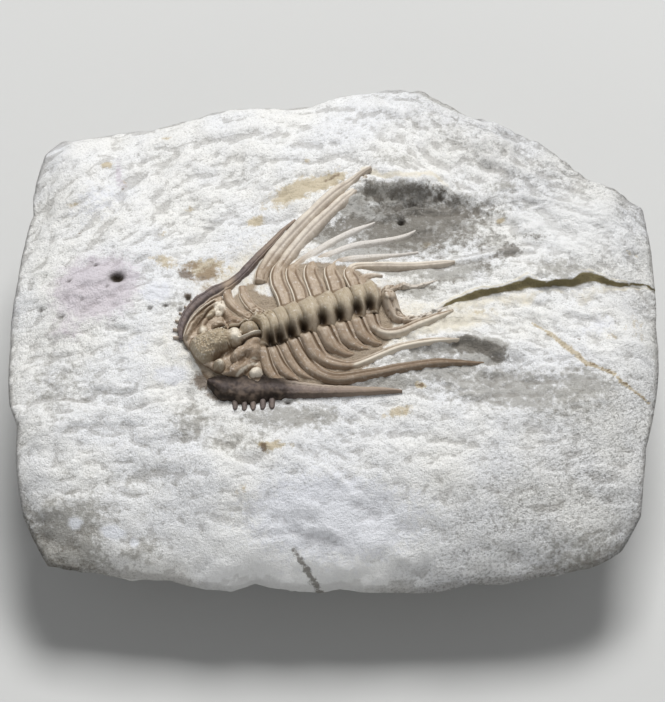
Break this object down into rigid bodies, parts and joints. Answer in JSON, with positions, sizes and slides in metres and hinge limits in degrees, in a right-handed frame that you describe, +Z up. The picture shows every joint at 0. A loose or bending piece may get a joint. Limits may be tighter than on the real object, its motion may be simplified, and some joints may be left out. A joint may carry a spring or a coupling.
{
  "type": "kettneraspis williamsi trilobite fossil",
  "caption": "Spiny trilobite fossil, head, jointed thorax, tail shield and long trailing spines, lying in relief on a broken block of pale limestone.",
  "frame": {"origin": "centre of the stone's outline from above, on the plane of its flat base", "axes": "+X along the stone's length, towards the fossil's tail; +Y away from the viewer of the picture; +Z up out of the fossil's face"},
  "size_m": [0.0528, 0.0426, 0.0192],
  "materials": {
    "limestone": "broken pale grey-white limestone, matt and granular, with ochre and lilac stains",
    "fossil_shell": "calcite shell, tan to brown with cream edges, faintly waxy",
    "dark_shell": "calcite shell, dark purple-brown, faintly waxy"
  },
  "bodies": {
    "root": {"matrix": "limestone", "cranidium": "fossil_shell", "free_cheek_left": "dark_shell", "free_cheek_right": "dark_shell", "thoracic_segment_1": "fossil_shell", "thoracic_segment_2": "fossil_shell", "thoracic_segment_3": "fossil_shell", "thoracic_segment_4": "fossil_shell", "thoracic_segment_5": "fossil_shell", "thoracic_segment_6": "fossil_shell", "thoracic_segment_7": "fossil_shell", "thoracic_segment_8": "fossil_shell", "thoracic_segment_9": "fossil_shell", "pygidium": "fossil_shell"}
  },
  "joints": []
}
